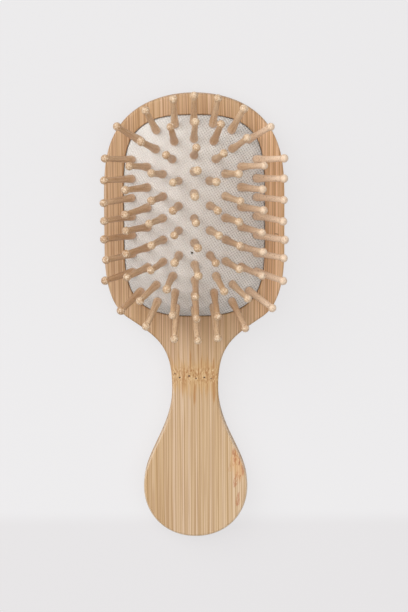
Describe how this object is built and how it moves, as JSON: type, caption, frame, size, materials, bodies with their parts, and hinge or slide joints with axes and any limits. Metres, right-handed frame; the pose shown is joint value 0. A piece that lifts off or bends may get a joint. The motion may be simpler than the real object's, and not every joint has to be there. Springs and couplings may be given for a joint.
{
  "type": "paddle brush",
  "caption": "Flat wooden paddle hairbrush with a domed rubber air cushion and rings of ball-tipped wooden pins.",
  "frame": {"origin": "on the board's flat back, under the cushion's centre", "axes": "+Y from the handle to the head, +Z out of the board's face along the middle pin, +X to the right when the pins face the viewer and the head is up"},
  "size_m": [0.073, 0.1814, 0.0417],
  "materials": {
    "bamboo": "smooth sanded flat-pressed bamboo, lightly oiled",
    "cushion_rubber": "matt off-white rubber with a fine woven texture",
    "pin_wood": "turned and tumbled pale wood"
  },
  "bodies": {
    "paddle": {"paddle_body": "bamboo", "cushion": "cushion_rubber"},
    "core_pins": {"core_pins_01": "pin_wood", "core_pins_02": "pin_wood", "core_pins_03": "pin_wood"},
    "inner_pins": {"inner_pins_01": "pin_wood", "inner_pins_02": "pin_wood", "inner_pins_03": "pin_wood", "inner_pins_04": "pin_wood", "inner_pins_05": "pin_wood", "inner_pins_06": "pin_wood"},
    "middle_pins": {"middle_pins_01": "pin_wood", "middle_pins_02": "pin_wood", "middle_pins_03": "pin_wood", "middle_pins_04": "pin_wood", "middle_pins_05": "pin_wood", "middle_pins_06": "pin_wood", "middle_pins_07": "pin_wood", "middle_pins_08": "pin_wood", "middle_pins_09": "pin_wood"},
    "outer_pins": {"outer_pins_01": "pin_wood", "outer_pins_02": "pin_wood", "outer_pins_03": "pin_wood", "outer_pins_04": "pin_wood", "outer_pins_05": "pin_wood", "outer_pins_06": "pin_wood", "outer_pins_07": "pin_wood", "outer_pins_08": "pin_wood", "outer_pins_09": "pin_wood", "outer_pins_10": "pin_wood", "outer_pins_11": "pin_wood", "outer_pins_12": "pin_wood"},
    "rim_pins": {"rim_pins_01": "pin_wood", "rim_pins_02": "pin_wood", "rim_pins_03": "pin_wood", "rim_pins_04": "pin_wood", "rim_pins_05": "pin_wood", "rim_pins_06": "pin_wood", "rim_pins_07": "pin_wood", "rim_pins_08": "pin_wood", "rim_pins_09": "pin_wood", "rim_pins_10": "pin_wood", "rim_pins_11": "pin_wood", "rim_pins_12": "pin_wood", "rim_pins_13": "pin_wood", "rim_pins_14": "pin_wood", "rim_pins_15": "pin_wood"}
  },
  "joints": [
    {"name": "cushion_press", "type": "slide", "parent": "paddle", "child": "core_pins", "axis": [0, 0, -1], "range_m": [0, 0.005], "stiffness_N_per_m": 2500, "deforming": ["cushion"]},
    {"name": "inner_follow", "type": "slide", "parent": "paddle", "child": "inner_pins", "axis": [0, 0, -1], "range_m": [0, 0.0049]},
    {"name": "middle_follow", "type": "slide", "parent": "paddle", "child": "middle_pins", "axis": [0, 0, -1], "range_m": [0, 0.00435]},
    {"name": "outer_follow", "type": "slide", "parent": "paddle", "child": "outer_pins", "axis": [0, 0, -1], "range_m": [0, 0.00325]},
    {"name": "rim_follow", "type": "slide", "parent": "paddle", "child": "rim_pins", "axis": [0, 0, -1], "range_m": [0, 0.00155]}
  ],
  "couplings": [
    {"joint": "inner_follow", "follows": "cushion_press", "ratio": 0.96},
    {"joint": "middle_follow", "follows": "cushion_press", "ratio": 0.85},
    {"joint": "outer_follow", "follows": "cushion_press", "ratio": 0.63},
    {"joint": "rim_follow", "follows": "cushion_press", "ratio": 0.29}
  ]
}
